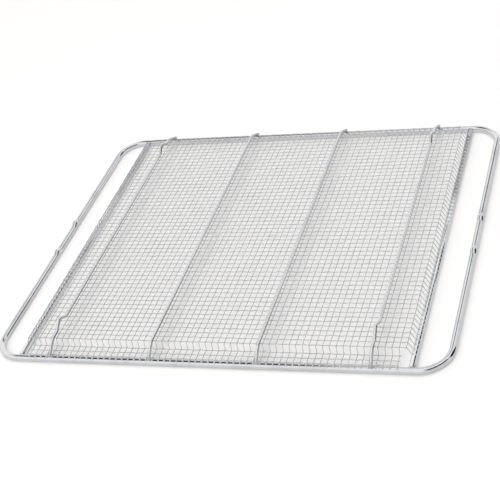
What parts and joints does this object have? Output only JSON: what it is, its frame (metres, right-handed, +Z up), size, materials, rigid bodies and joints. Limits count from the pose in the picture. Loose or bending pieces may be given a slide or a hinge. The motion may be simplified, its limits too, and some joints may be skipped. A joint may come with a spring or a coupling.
{
  "type": "grill rack",
  "caption": "Rectangular wire grill rack: a fine mesh panel raised inside a heavy rounded ring, with cross rods, small humped feet and an open hand slot at each end.",
  "frame": {"origin": "centre of the rack, on the surface that the ring lies on", "axes": "+X along the width towards the right hand slot, +Y from the front bar to the back bar, +Z up through the mesh"},
  "size_m": [0.466, 0.384, 0.0247],
  "materials": {
    "plated_frame": "bright plated steel wire",
    "plated_rods": "bright plated steel rod",
    "plated_mesh": "plated steel wire cloth"
  },
  "bodies": {
    "root": {"frame_ring": "plated_frame", "left_side_rod": "plated_rods", "right_side_rod": "plated_rods", "outer_rod_left": "plated_rods", "inner_rod_left": "plated_rods", "inner_rod_right": "plated_rods", "outer_rod_right": "plated_rods", "mesh_cross_wires": "plated_mesh", "mesh_long_wires": "plated_mesh"}
  },
  "joints": []
}
